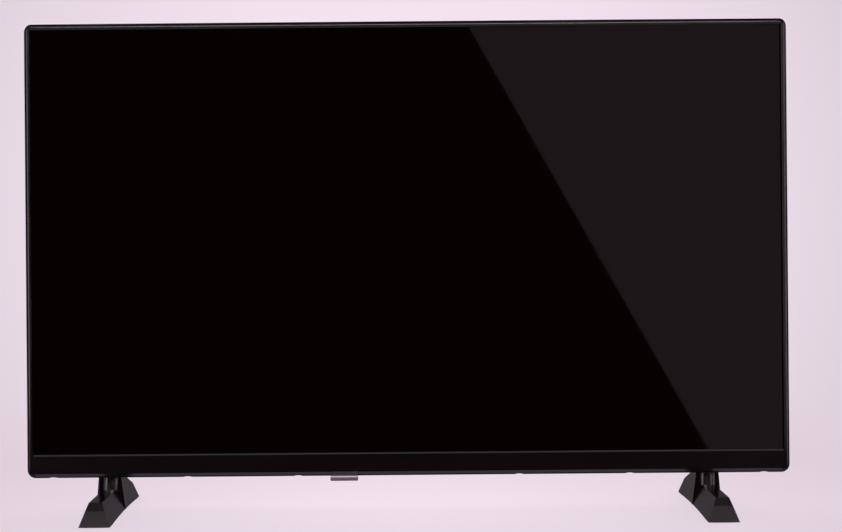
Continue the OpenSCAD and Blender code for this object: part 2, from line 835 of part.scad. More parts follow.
module transformer() {
  x = -134;
  z = base_z + 166;
  color([0.2, 0.18, 0.16]) {
    block([x - 17, x + 17], [board_back, board_back + 4], [z - 16, z + 16]);
    rod(x, z, board_back + 3, board_back + 24, 13);
    block([x - 17, x + 17], [board_back + 23, board_back + 27], [z - 16, z + 16]);
    for (s = [-1, 1])
      block([x - 7, x + 7], [board_back + 4, board_back + 23], [z + s * 14.5 - 2.5, z + s * 14.5 + 2.5]);
  }
}

module capacitors() {
  color([0.12, 0.12, 0.16]) {
    rod(-190, base_z + 195, board_back, board_back + 30, 11);
    for (x = [-106, -90], z = [base_z + 124, base_z + 204]) rod(x, z, board_back, board_back + 20, 5);
  }
}

module heat_plates() {
  color([0.7, 0.7, 0.7]) for (z = [base_z + 128, base_z + 156]) {
    block([-186, -166], [board_back, board_back + 22], [z, z + 2]);
    block([-186, -184], [board_back, board_back + 22], [z, z + 12]);
  }
}

mains_mid_t = board_back + mains_t / 2;
mains_depth = 22;
pin_pitch = 8.6;
module mains_inlet() {
  recess_r = 4.3;
  color([0.06, 0.06, 0.06]) difference() {
    block([-mouth_x, -mouth_x + mains_depth], [board_back, board_back + mains_t],
          [mains_z - mains_w / 2, mains_z + mains_w / 2]);
    for (s = [-1, 1]) axle(-mouth_x - 1, -mouth_x + 15, mains_mid_t, mains_z + s * pin_pitch / 2, recess_r);
    block([-mouth_x - 1, -mouth_x + 15], [mains_mid_t - recess_r + 0.4, mains_mid_t + recess_r - 0.4],
          [mains_z - pin_pitch / 2, mains_z + pin_pitch / 2]);
  }
}

module inlet_pins() {
  color([0.8, 0.78, 0.7]) for (s = [-1, 1])
    axle(-mouth_x + 2, -mouth_x + 15, mains_mid_t, mains_z + s * pin_pitch / 2, 1.2);
}

module board_screws() {
  color([0.7, 0.7, 0.72]) for (p = board_holes) {
    rod(p[0], p[1], pan_back + 1.4, board_back, screw_r);
    rod(p[0], p[1], board_back, board_back + head_h, head_r);
  }
}

module speaker_box() {
  x = speaker_x;
  t = [speaker_front, speaker_front + speaker_d];
  z = [speaker_z, speaker_z + speaker_h];
  w = speaker_wall;
  color([0.06, 0.06, 0.06]) difference() {
    block(x, t, z);
    block([x[0] + w, x[1] - w], [t[0] + w, t[1] - w], [z[0] + w, z[1] - w]);
    peg(speaker_off, driver_t, z[0] - 1, z[0] + w + 1, port_r);
  }
}

module speaker_box_left() {
  mirror([1, 0, 0]) speaker_box();
}

module speaker_box_right() {
  speaker_box();
}

module turned(s) {
  translate([s * speaker_off, front_y + driver_t, driver_z]) rotate_extrude() children();
}

coil_r = 5.2;
coil_t = 0.6;
coil_gap = 0.5;
magnet_r = 12;
coil_end = 13.5;
gap_end = coil_end + cone_travel + 1.5;

// Basket and magnet with the ring gap for the voice coil
module driver(s) {
  color([0.3, 0.3, 0.32]) turned(s)
    polygon([[driver_r - 3.2, 0], [driver_r, 0], [driver_r, 1.5], [driver_r - 1.4, 1.5], [magnet_r, 9.2],
             [magnet_r, gap_end + 1.5], [0, gap_end + 1.5], [0, 8.6], [coil_r - coil_gap, 8.6],
             [coil_r - coil_gap, gap_end], [coil_r + coil_t + coil_gap, gap_end],
             [coil_r + coil_t + coil_gap, 9.2], [magnet_r - 1.2, 9.2], [driver_r - 3, 1.4]]);
}

module driver_left() {
  driver(-1);
}

module driver_right() {
  driver(1);
}

cone_r = driver_r - 6.5;
module cone(s) {
  color([0.16, 0.16, 0.17]) turned(s)
    polygon([[cone_r, 0.9], [cone_r, 1.5], [coil_r + coil_t, 6.6], [coil_r + coil_t, coil_end],
             [coil_r, coil_end], [coil_r, 5.7], [0, 3.8], [0, 3.2], [coil_r + 0.2, 5.1]]);
}

module cone_left() {
  cone(-1);
}

module cone_right() {
  cone(1);
}

// Half roll between the cone's edge and the basket
module surround(s) {
  mid = (cone_r + driver_r - 3.2) / 2;
  r = (driver_r - 3.2 - cone_r) / 2 - 0.25;
  color([0.05, 0.05, 0.05]) turned(s) intersection() {
    translate([mid, 1]) difference() {
      circle(r);
      circle(r - 0.5);
    }
    translate([mid - r - 1, 1 - r - 1]) square([2 * r + 2, r + 1]);
  }
}

module surround_left() {
  surround(-1);
}

module surround_right() {
  surround(1);
}

module speaker_gaskets() {
  color([0.1, 0.1, 0.1]) for (s = [-1, 1]) difference() {
    peg(s * speaker_off, driver_t, wall_top, speaker_z, driver_r - 1.5);
    peg(s * speaker_off, driver_t, wall_top - 1, speaker_z + 1, port_r);
  }
}

module sensor_window() {
  hw = window_w / 2;
  front = 0.4;
  color([0.2, 0.2, 0.21]) {
    between(front, window_t + front)
      rounded(window_x - hw, window_x + hw, base_z - window_drop, base_z + chin_rim, 1.2, 0.3);
    block([window_x - 9, window_x + 9], [lip_t + 0.2, window_t + 1.2],
          [base_z + chin_rim - 0.3, base_z + 7.6]);
  }
}

module sensor_board() {
  color([0.08, 0.3, 0.18]) {
    block([window_x - 23, window_x + 22], [pan_front + 1, pan_front + 20.4], [sensor_z, sensor_z + 1.2]);
    for (x = [window_x - 4, window_x + 5]) {
      block([x - 2.5, x + 2.5], [window_t + 1.4, pan_front + 2.8], [base_z + 3.4, sensor_z - 0.4]);
      block([x - 2.5, x + 2.5], [pan_front + 1, pan_front + 2.8], [sensor_z - 0.6, sensor_z + 0.1]);
    }
  }
}

module tact_switch() {
  color([0.15, 0.15, 0.16]) difference() {
    block([window_x - 3, window_x + 3], [button_depth - 3, button_depth + 3], [switch_z, sensor_z]);
    peg(window_x, button_depth, switch_z - 1, sensor_z - 0.8, 1.8);
  }
}

module switch_plunger() {
  color([0.85, 0.85, 0.82]) peg(window_x, button_depth, flange_top, plunger_top, 1.5);
}

module power_button() {
  x = button_w / 2;
  t = button_l / 2;
  color([0.04, 0.04, 0.045]) {
    translate([window_x, front_y + button_depth, under_z - button_proud])
      linear_extrude(flange_z - under_z + button_proud + 0.1) rounded(-x, x, -t, t, 1.5, 1.5);
    block([window_x - x - 1.2, window_x + x + 1.2], [button_depth - t - 1.2, button_depth + t + 1.2],
          [flange_z, flange_top]);
  }
}

// Thin part of the rear cover, drawn in by a wall
module shell_form(g) {
  steps = [[skirt_depth, 0], [shell_depth - 3 - g, shell_taper * 0.52],
           [shell_depth - 0.9 - g, shell_taper * 0.76], [shell_depth - g, shell_taper]];
  hull($fn = 32) {
    between(frame_depth - (g > 0 ? 1 : 0), skirt_depth) outline(cover_inset + g);
    for (s = steps) between(s[0] - slice, s[0])
      rounded(-half_w + cover_inset + g + s[1], half_w - cover_inset - g - s[1],
              base_z + cover_inset + g + s[1], top_z - cover_inset - g - s[1],
              corner_base_r - cover_inset - g, corner_base_r - cover_inset - g);
  }
}

// Hump for the electronics and speakers, drawn in by a wall
module hump_form(g) {
  r = 14;
  steps = [[shell_depth, 0], [hump_flat, 0], [set_depth - hump_edge - g, 0],
           [set_depth - hump_edge * 0.3 - g, hump_edge * 0.35], [set_depth - g, hump_edge]];
  hull($fn = 32) {
    between(frame_depth + (g > 0 ? 2 : 0), shell_depth)
      rounded(-hump_hw(shell_depth) + g, hump_hw(shell_depth) - g,
              under_z + g, hump_top(shell_depth) - g, r, r);
    for (s = steps) between(s[0] - slice, s[0])
      rounded(-hump_hw(s[0]) + g + s[1], hump_hw(s[0]) - g - s[1],
              hump_low(s[0]) + g + s[1] * 0.5, hump_top(s[0]) - g - s[1], r, r);
  }
}

module side_bay(z, d) {
  block([bay_x - d, half_w + 20], [shell_depth - d, set_depth + 20], [z[0] - d, z[1] + d]);
}

module rear_bay(d) {
  block([rear_bay_x[0] - d, rear_bay_x[1] + d], [rear_bay_depth - d, set_depth + 20],
        [rear_bay_z[0] - d, rear_bay_z[1] + d]);
}

// Cut-outs for the sockets in the walls of the bays
module socket_windows() {
  c = cut_clear;
  x = [bay_x - bay_wall - 1, bay_x + 1];
  for (z = hdmi_z)
    block(x, [board_back - c, board_back + hdmi_t + c], [z - hdmi_w / 2 - c, z + hdmi_w / 2 + c]);
  block(x, [board_back - c, board_back + usb_t + c], [usb_z - usb_w / 2 - c, usb_z + usb_w / 2 + c]);
  block(x, [board_back - c, board_back + card_t + c], [card_z - card_w / 2 - c, card_z + card_w / 2 + c]);
  block([-x[1], -x[0]], [board_back - c, board_back + mains_t + c],
        [mains_z - mains_w / 2 - c, mains_z + mains_w / 2 + c]);
  for (s = [[aerial_x, 6], [dish_x, 5.6], [coax_x, 4.2], [phones_x, 3.8]])
    peg(s[0], socket_t, rear_bay_z[1] - 1, rear_bay_z[1] + bay_wall + 1, s[1] + c);
}

module vents() {
  for (i = [0 : vent_count - 1]) {
    x = (i - (vent_count - 1) / 2) * vent_pitch;
    block([x - vent_w / 2, x + vent_w / 2], [shell_depth + 9, set_depth - 10],
          [hump_top(set_depth) - 12, top_z]);
  }
  for (s = [-1, 1], i = [0 : field_count - 1]) {
    x = s * 140 + (i - (field_count - 1) / 2) * vent_pitch;
    block([x - vent_w / 2, x + vent_w / 2], [set_depth - 6, set_depth + 1], [base_z + 176, base_z + 212]);
  }
  for (s = [-1, 1], i = [-4 : 4]) {
    x = s * speaker_off + i * grille_pitch;
    reach = sqrt(pow(port_r, 2) - pow(abs(i) * grille_pitch + grille_slot / 2, 2));
    block([x - grille_slot / 2, x + grille_slot / 2], [driver_t - reach, driver_t + reach],
          [base_z - 1, wall_top + 0.5]);
  }
}

module rear_cover() {
  c = cut_clear;
  color([0.05, 0.05, 0.055]) difference() {
    union() {
      shell_form(0);
      hump_form(0);
    }
    difference() {
      union() {
        shell_form(cover_wall);
        hump_form(cover_wall);
      }
      for (p = cover_screws_at) rod(p[0], p[1], well_floor, set_depth + 1, well_r + well_wall);
      side_bay(side_bay_z, bay_wall);
      mirror([1, 0, 0]) side_bay(mains_bay_z, bay_wall);
      rear_bay(bay_wall);
      for (x = [window_x - 18, window_x + 18]) peg(x, pan_front + 15, under_z, sensor_z, 2.4);
    }
    for (p = cover_screws_at) {
      rod(p[0], p[1], well_floor + well_floor_t, set_depth + 1, well_r);
      rod(p[0], p[1], well_floor - 1, well_floor + well_floor_t + 1, screw_r + 0.3);
    }
    side_bay(side_bay_z, 0);
    mirror([1, 0, 0]) side_bay(mains_bay_z, 0);
    rear_bay(0);
    socket_windows();
    vents();
    for (sx = [-1, 1], sz = [-1, 1])
      rod(sx * vesa_pitch / 2, vesa_z + sz * vesa_pitch / 2, set_depth - 8, set_depth + 1, post_r + c);
    for (s = [-1, 1])
      translate([s * foot_x - tongue_w / 2 - c, fix_y - tongue_d / 2 - c, base_z - 1])
        cube([tongue_w + 2 * c, tongue_d + 2 * c, cover_wall + cover_inset + 2]);
    translate([window_x, front_y + button_depth, base_z - 1]) linear_extrude(cover_wall + cover_inset + 2)
      rounded(-button_w / 2 - c, button_w / 2 + c, -button_l / 2 - c, button_l / 2 + c, 1.5, 1.5);
  }
}

module cover_screws() {
  seat = well_floor + well_floor_t;
  color([0.1, 0.1, 0.1]) for (p = cover_screws_at) difference() {
    union() {
      rod(p[0], p[1], boss_front + 3, seat, screw_r);
      rod(p[0], p[1], seat, seat + head_h, head_r);
    }
    for (a = [0, 90]) translate([p[0], front_y + seat + head_h, p[1]]) rotate([0, a, 0])
      cube([3.6, 2, 0.8], center = true);
  }
}

module wall_posts() {
  color([0.75, 0.75, 0.76]) for (sx = [-1, 1], sz = [-1, 1]) difference() {
    rod(sx * vesa_pitch / 2, vesa_z + sz * vesa_pitch / 2, pan_back, set_depth, post_r);
    rod(sx * vesa_pitch / 2, vesa_z + sz * vesa_pitch / 2, set_depth - 14, set_depth + 1, vesa_r);
  }
}

module stand_brackets() {
  color([0.66, 0.67, 0.68]) for (s = [-1, 1]) difference() {
    union() {
      block([s * foot_x - bracket_w / 2, s * foot_x + bracket_w / 2], [pan_back, fix_t + 17],
            [bracket_z, bracket_z + bracket_t]);
      block([s * foot_x - bracket_w / 2, s * foot_x + bracket_w / 2], [pan_back, pan_back + bracket_plate],
            [bracket_z, bracket_z + 66]);
    }
    for (y = [-1, 1]) peg(s * foot_x, fix_t + y * foot_screw_pitch / 2,
                          bracket_z - 1, bracket_z + bracket_t + 1, foot_screw_r + thread_clear);
    for (p = bracket_holes) rod(p[0], p[1], pan_back - 1, pan_back + bracket_plate + 1, screw_r + 0.2);
  }
}

// Points of the shallow arch under a foot, from its heel to its toe
function arch(steps) = [
  for (i = [0 : steps])
    let (y = arch_reach * (1 - 2 * i / steps))
    [y, pad_proud + arch_h * (1 - pow(y / arch_reach, 2))]
];

// Side view of a foot's bar: front to back, and height
module foot_side() {
  h = foot_len / 2;
  polygon(concat(
    [[-h, pad_proud], [-h + toe_lean, toe_h], [-h + toe_lean + toe_slope, foot_h], [neck_back, foot_h],
     [neck_back, rear_h], [h - toe_lean - heel_slope, rear_h], [h - toe_lean, heel_h], [h, pad_proud]],
    arch(24)));
}

// Section of a foot's bar: across, and height
module foot_section() {
  w = foot_w / 2;
  top = w - (w - foot_top_w / 2) * (rear_h - pad_proud) / (foot_h - pad_proud);
  polygon([[-w, pad_proud], [w, pad_proud], [top, rear_h], [-top, rear_h]]);
}

// Plan of the neck: narrow at its front and rear faces, full width between them
module neck_plan() {
  f = neck_face / 2;
  w = foot_w / 2;
  d = neck_d / 2;
  difference() {
    polygon([[-f, -d], [f, -d], [w, -3], [w, 3], [f, d], [-f, d], [-w, 3], [-w, -3]]);
    for (sx = [-1, 1], sy = [-1, 1]) translate([sx * f, sy * d])
      neck_edge(sx, sy, sy < 0 ? neck_r : neck_rear_r);
  }
}

// Corner cut of the neck's plan, tangent to its face and its flank
module neck_edge(sx, sy, r) {
  f = neck_face / 2;
  w = foot_w / 2;
  flank = atan2(neck_d / 2 - 3, w - f);
  run = r * tan(flank / 2);
  end = [run * cos(flank), -run * sin(flank)];
  scale([sx, sy]) difference() {
    polygon([[-run, 0.5], [0.6, 0.5], [end[0] + 0.6, end[1]], end, [-run, -r]]);
    translate([-run, -r]) circle(r);
    polygon([[-run, -r], [-run, -r - 3], [end[0], end[1] - 3], end]);
  }
}

module foot_body() {
  color([0.04, 0.04, 0.045]) difference() {
    union() {
      intersection() {
        translate([-foot_w, 0, 0]) rotate([90, 0, 90]) linear_extrude(2 * foot_w) foot_side();
        translate([0, foot_len, 0]) rotate([90, 0, 0]) linear_extrude(2 * foot_len) foot_section();
      }
      translate([0, neck_back, 0]) intersection() {
        translate([0, 0, pad_proud + arch_h]) linear_extrude(under_z - pad_proud - arch_h) neck_plan();
        translate([0, neck_d, 0]) rotate([90, 0, 0]) linear_extrude(2 * neck_d)
          polygon([[-foot_w / 2, 0], [foot_w / 2, 0], [neck_w / 2, under_z], [-neck_w / 2, under_z]]);
      }
      translate([-tongue_w / 2, fix_y - tongue_d / 2, under_z - 2])
        cube([tongue_w, tongue_d, bracket_z - under_z + 2]);
    }
    for (s = [-1, 1]) {
      translate([-pad_w / 2, s * pad_y - pad_len / 2, 0]) cube([pad_w, pad_len, pad_t]);
      translate([0, fix_y + s * foot_screw_pitch / 2, 0]) {
        cylinder(h = foot_head_z, r = 4.6);
        cylinder(h = bracket_z + 1, r = foot_screw_r + 0.25);
      }
    }
    for (y = [-62, -46, -30, 32, 48]) translate([-7, y, 0]) cube([14, 14, 12]);
  }
}

module foot_left() {
  translate([-foot_x, 0, 0]) foot_body();
}

module foot_right() {
  translate([foot_x, 0, 0]) foot_body();
}

module foot_screws() {
  color([0.3, 0.3, 0.31]) for (s = [-1, 1], y = [-1, 1]) difference() {
    union() {
      peg(s * foot_x, fix_t + y * foot_screw_pitch / 2,
          foot_head_z, bracket_z + bracket_t + 2, foot_screw_r);
      peg(s * foot_x, fix_t + y * foot_screw_pitch / 2, foot_head_z - 3, foot_head_z, 4);
    }
    for (a = [0, 90])
      translate([s * foot_x, fix_y + y * foot_screw_pitch / 2, foot_head_z - 3]) rotate([0, 0, a])
        cube([4.6, 1, 3], center = true);
  }
}

module foot_pads() {
  color([0.02, 0.02, 0.02]) for (s = [-1, 1], y = [-1, 1])
    translate([s * foot_x - pad_w / 2, y * pad_y - pad_len / 2, 0]) cube([pad_w, pad_len, pad_t]);
}

front_frame();
bottom_trim();
cell_gasket();
lcd_cell();
middle_frame();
prism_sheet();
diffuser_sheet();
diffuser_plate();
reflector_sheet();
led_bars();
led_lenses();
backlight_chassis();
chassis_screws();
source_board();
source_films();
main_board();
processor();
heat_sink();
tuner_can();
hdmi_sockets();
usb_socket();
card_cage();
audio_jacks();
screen_connector();
screen_ribbon();
power_board();
transformer();
capacitors();
heat_plates();
mains_inlet();
inlet_pins();
board_screws();
speaker_box_left();
speaker_box_right();
driver_left();
driver_right();
cone_left();
cone_right();
surround_left();
surround_right();
speaker_gaskets();
sensor_window();
sensor_board();
tact_switch();
switch_plunger();
power_button();
rear_cover();
cover_screws();
wall_posts();
stand_brackets();
foot_left();
foot_right();
foot_screws();
foot_pads();
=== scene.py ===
"""Looks of the flat screen set: camera, studio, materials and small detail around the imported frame."""

import json
import math

import bmesh
import bpy
from mathutils import Euler, Matrix, Vector


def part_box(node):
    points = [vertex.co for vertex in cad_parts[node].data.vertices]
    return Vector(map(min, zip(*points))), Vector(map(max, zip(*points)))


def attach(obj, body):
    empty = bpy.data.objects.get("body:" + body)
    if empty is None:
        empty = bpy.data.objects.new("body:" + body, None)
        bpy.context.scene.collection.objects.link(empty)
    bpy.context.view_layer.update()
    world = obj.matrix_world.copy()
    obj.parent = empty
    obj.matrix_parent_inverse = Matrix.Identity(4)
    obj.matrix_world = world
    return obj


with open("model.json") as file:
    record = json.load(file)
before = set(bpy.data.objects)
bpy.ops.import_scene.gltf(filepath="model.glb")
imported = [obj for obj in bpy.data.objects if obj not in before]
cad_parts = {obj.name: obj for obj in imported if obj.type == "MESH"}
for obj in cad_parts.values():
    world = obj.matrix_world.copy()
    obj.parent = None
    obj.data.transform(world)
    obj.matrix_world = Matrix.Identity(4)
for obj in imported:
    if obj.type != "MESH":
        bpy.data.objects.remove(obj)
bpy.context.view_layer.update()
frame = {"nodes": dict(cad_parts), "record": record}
nodes = frame["nodes"]

MM = 0.001
LILAC_EDGE = (0.715, 0.618, 0.698)
# Painted light: this lighter colour makes the backdrop and the floor brighter near the set, like a pool of
# lamp light
LILAC_PAINTED_POOL = (0.928, 0.804, 0.905)
LAMP_COLOUR = (1.0, 0.86, 0.92)
SIDES = ((-1, "left"), (1, "right"))


# Shader nodes

def coordinates(tree, kind):
    """Texture coordinates of one kind."""
    return tree.nodes.new("ShaderNodeTexCoord").outputs[kind]


def split_axes(tree, vector):
    """Outputs X, Y and Z of a vector."""
    node = tree.nodes.new("ShaderNodeSeparateXYZ")
    tree.links.new(vector, node.inputs[0])
    return node.outputs


def calculate(tree, operation, *values):
    """Result of a math node; each value is a number or an output socket."""
    node = tree.nodes.new("ShaderNodeMath")
    node.operation = operation
    for socket, value in zip(node.inputs, values):
        if isinstance(value, float):
            socket.default_value = value
        else:
            tree.links.new(value, socket)
    return node.outputs[0]


def ramp(tree, value, low, high):
    """Smooth rise from 0 to 1 between two values."""
    node = tree.nodes.new("ShaderNodeMapRange")
    node.interpolation_type = "SMOOTHSTEP"
    node.inputs["From Min"].default_value = low
    node.inputs["From Max"].default_value = high
    tree.links.new(value, node.inputs["Value"])
    return node.outputs[0]


def spread(tree, value, low, high, source=(0.3, 0.7)):
    """Straight map of a value's source range, by default the busy part of a noise, to low and high."""
    node = tree.nodes.new("ShaderNodeMapRange")
    node.inputs["From Min"].default_value = source[0]
    node.inputs["From Max"].default_value = source[1]
    node.inputs["To Min"].default_value = low
    node.inputs["To Max"].default_value = high
    tree.links.new(value, node.inputs["Value"])
    return node.outputs[0]


def mix_colours(tree, factor, a, b):
    """Colour between two others, each a plain colour or an output socket."""
    node = tree.nodes.new("ShaderNodeMix")
    node.data_type = "RGBA"
    tree.links.new(factor, node.inputs["Factor"])
    for name, colour in (("A", a), ("B", b)):
        if isinstance(colour, tuple):
            node.inputs[name].default_value = (*colour, 1)
        else:
            tree.links.new(colour, node.inputs[name])
    return node.outputs["Result"]


def mix_shaders(tree, factor, a, b):
    """Shader between two others."""
    node = tree.nodes.new("ShaderNodeMixShader")
    for socket, source in zip(node.inputs, (factor, a, b)):
        tree.links.new(source, socket)
    return node.outputs[0]


def seen_directly(tree, path):
    """1 for rays from the camera or through clear pieces, and 0 for all others."""
    return calculate(tree, "MAXIMUM", path.outputs["Is Camera Ray"], path.outputs["Is Transmission Ray"])


def new_material(name):
    """Material with an empty tree, the tree, and the socket that takes its shader."""
    material = bpy.data.materials.new(name)
    material.use_nodes = True
    tree = material.node_tree
    tree.nodes.clear()
    out = tree.nodes.new("ShaderNodeOutputMaterial")
    return material, tree, out.inputs["Surface"]


# Camera and studio

def add_camera():
    place = (-0.0018, -1.826, 0.2888)
    level = Euler((math.radians(90), 0, 0)).to_matrix()
    roll = Matrix.Rotation(math.radians(-0.488), 3, "Z")
    data = bpy.data.cameras.new("camera")
    data.sensor_width = 36.0
    data.lens = 80.12
    data.shift_x = 0.0195
    data.shift_y = -0.0630
    data.clip_start = 0.05
    camera = bpy.data.objects.new("camera", data)
    camera.matrix_world = Matrix.Translation(place) @ (level @ roll).to_4x4()
    bpy.context.scene.collection.objects.link(camera)
    bpy.context.scene.camera = camera


def add_world():
    """Pale backdrop with a painted pool of light, lightest straight behind the set; reflections see it
    behind the set, and a dark room with a pale floor before it.
    """
    dark_room = (0.019, 0.010, 0.009)
    pale_floor = (0.85, 0.73, 0.81)
    soft_light = (0.40, 0.38, 0.40)
    world = bpy.data.worlds.new("studio")
    bpy.context.scene.world = world
    world.use_nodes = True
    tree = world.node_tree
    tree.nodes.clear()
    out = tree.nodes.new("ShaderNodeOutputWorld")
    light = tree.nodes.new("ShaderNodeBackground")
    tree.links.new(light.outputs[0], out.inputs[0])
    path = tree.nodes.new("ShaderNodeLightPath")
    # The ranges below are parts of a unit direction: Y runs from the camera's side to the backdrop
    axis = split_axes(tree, coordinates(tree, "Generated"))
    # Painted light: the backdrop turns lighter straight behind the set
    middle = spread(tree, axis["Y"], 0, 1, source=(0.966, 1.0))
    backdrop = mix_colours(tree, middle, LILAC_EDGE, LILAC_PAINTED_POOL)
    behind = ramp(tree, axis["Y"], 0.55, 0.9)
    room = mix_colours(tree, behind, dark_room, backdrop)
    below = ramp(tree, axis["Z"], -0.36, -0.52)
    before = ramp(tree, axis["Y"], -0.35, -0.75)
    mirrored = mix_colours(tree, calculate(tree, "MULTIPLY", below, before), room, pale_floor)
    indirect = mix_colours(tree, path.outputs["Is Glossy Ray"], soft_light, mirrored)
    colour = mix_colours(tree, seen_directly(tree, path), indirect, backdrop)
    tree.links.new(colour, light.inputs["Color"])


def floor_material():
    """Pale, with a painted pool of light that is lightest in the middle; it keeps the shadow and turns
    clear far from the set.
    """
    light_reach = 0.6
    fade_start = 0.45
    fade_end = 1.5
    glow_share = 0.86
    material, tree, surface = new_material("floor")
    far = tree.nodes.new("ShaderNodeVectorMath")
    far.operation = "LENGTH"
    tree.links.new(coordinates(tree, "Object"), far.inputs[0])
    distance = far.outputs["Value"]
    matte = tree.nodes.new("ShaderNodeBsdfDiffuse")
    matte.inputs["Color"].default_value = (0.78, 0.69, 0.765, 1)
    glow = tree.nodes.new("ShaderNodeEmission")
    # Painted light: the floor's glow is lightest at the middle and falls to the edge colour by distance
    painted_pool = ramp(tree, distance, light_reach, 0.0)
    tree.links.new(mix_colours(tree, painted_pool, LILAC_EDGE, LILAC_PAINTED_POOL), glow.inputs["Color"])
    path = tree.nodes.new("ShaderNodeLightPath")
    share = calculate(tree, "MULTIPLY", seen_directly(tree, path), glow_share)
    pale = mix_shaders(tree, share, matte.outputs[0], glow.outputs[0])
    clear = tree.nodes.new("ShaderNodeBsdfTransparent")
    fade = ramp(tree, distance, fade_start, fade_end)
    tree.links.new(mix_shaders(tree, fade, pale, clear.outputs[0]), surface)
    return material


def add_floor():
    """Round floor just under the foot pads; the world stands for it in reflections."""
    mesh = bpy.data.meshes.new("floor")
    shape = bmesh.new()
    bmesh.ops.create_circle(shape, cap_ends=True, segments=96, radius=3.0)
    shape.to_mesh(mesh)
    shape.free()
    mesh.materials.append(floor_material())
    floor = bpy.data.objects.new("floor", mesh)
    floor.location = (0, 0, -0.2 * MM)
    bpy.context.scene.collection.objects.link(floor)
    floor.visible_glossy = False


def add_card(name, corners, colour):
    """Flat card of an even glow that neither the camera nor matt surfaces see."""
    material, tree, surface = new_material(name)
    glow = tree.nodes.new("ShaderNodeEmission")
    glow.inputs["Color"].default_value = (*colour, 1)
    tree.links.new(glow.outputs[0], surface)
    mesh = bpy.data.meshes.new(name)
    mesh.from_pydata(corners, [], [(0, 1, 2, 3)])
    mesh.materials.append(material)
    card = bpy.data.objects.new(name, mesh)
    bpy.context.scene.collection.objects.link(card)
    card.visible_camera = False
    card.visible_diffuse = False
    card.visible_shadow = False
    return card


def add_reflection_card():
    """Light card behind the camera; the right part of the screen mirrors it up to a slanting edge."""
    y = -2.4
    top = 0.74
    bottom = -0.25
    right = 1.60
    upper_x = 0.1524
    upper_z = 0.6889
    lower_x = 0.6738
    lower_z = -0.2490
    slope = (lower_x - upper_x) / (lower_z - upper_z)
    left_top = upper_x + slope * (top - upper_z)
    left_bottom = upper_x + slope * (bottom - upper_z)
    corners = [(left_top, y, top), (right, y, top), (right, y, bottom), (left_bottom, y, bottom)]
    add_card("reflection_card", corners, (0.263, 0.197, 0.240))


def add_dark_card():
    """Dim card low behind the set that only reflections see; it keeps the sides of the feet dark."""
    y = 0.6
    top = 0.25
    bottom = -0.20
    right = 0.55
    corners = [(-right, y, bottom), (right, y, bottom), (right, y, top), (-right, y, top)]
    card = add_card("dark_card", corners, (0.13, 0.11, 0.125))
    card.visible_transmission = False


def add_softbox(name, place, aim, size, radiance):
    """Rectangular lamp that faces a point."""
    data = bpy.data.lights.new(name, "AREA")
    data.shape = "RECTANGLE"
    data.size, data.size_y = size
    data.energy = radiance * math.pi * size[0] * size[1]
    data.color = LAMP_COLOUR
    lamp = bpy.data.objects.new(name, data)
    lamp.location = place
    lamp.rotation_euler = (Vector(aim) - Vector(place)).to_track_quat("-Z", "Y").to_euler()
    bpy.context.scene.collection.objects.link(lamp)


def add_lamps():
    """Uneven strips before the set and beside it, two high boxes, and pairs of large boxes behind it."""
    left_aim = (-0.1, 0, 0.25)
    right_aim = (0.1, 0, 0.25)
    front_strip = (0.34, 0.72)
    side_strip = (0.36, 1.3)
    add_softbox("front_left", (-0.98, -1.5, 0.28), left_aim, front_strip, radiance=4.2)
    add_softbox("front_right", (0.95, -1.5, 0.28), right_aim, front_strip, radiance=2.0)
    add_softbox("side_left", (-1.32, -1.05, 0.40), left_aim, side_strip, radiance=1.6)
    add_softbox("side_right", (1.42, -0.95, 0.40), right_aim, side_strip, radiance=3.2)
    add_softbox("front_high", (0, -4.0, 1.42), (0, 0, 0.3), size=(2.5, 0.58), radiance=11.0)
    add_softbox("top", (0, -1.3, 1.75), (0, 0, 0.2), size=(2.2, 0.35), radiance=0.7)
    for side, name in SIDES:
        add_softbox("rear_" + name, (side * 1.2, 1.5, 1.4), (0, 0, 0.25), size=(1.6, 1.5), radiance=2.2)
    for side, name in SIDES:
        add_softbox("bay_" + name, (side * 1.6, 1.0, 1.2), (side * 0.2, 0.05, 0.2), size=(1.2, 1.0),
                    radiance=2.6)


# Materials

def start(name):
    """Material with one principled shader, its tree, the shader, and the object's coordinates."""
    material, tree, surface = new_material(name)
    shader = tree.nodes.new("ShaderNodeBsdfPrincipled")
    tree.links.new(shader.outputs[0], surface)
    return material, tree, shader, coordinates(tree, "Object")


def noise(tree, vector, scale, detail, stretch=None):
    """Noise of so many lumps to the metre; a stretch below 1 draws them out along that axis."""
    if stretch:
        mapping = tree.nodes.new("ShaderNodeMapping")
        mapping.inputs["Scale"].default_value = stretch
        tree.links.new(vector, mapping.inputs["Vector"])
        vector = mapping.outputs[0]
    node = tree.nodes.new("ShaderNodeTexNoise")
    node.inputs["Scale"].default_value = scale
    node.inputs["Detail"].default_value = detail
    tree.links.new(vector, node.inputs["Vector"])
    return node.outputs[0]


def cloudy(tree, cloud, dark, light):
    """Colour that drifts between two others with a noise."""
    return mix_colours(tree, spread(tree, cloud, 0, 1), dark, light)


def bump(tree, shader, height, depth, strength):
    node = tree.nodes.new("ShaderNodeBump")
    node.inputs["Distance"].default_value = depth
    node.inputs["Strength"].default_value = strength
    tree.links.new(height, node.inputs["Height"])
    tree.links.new(node.outputs[0], shader.inputs["Normal"])


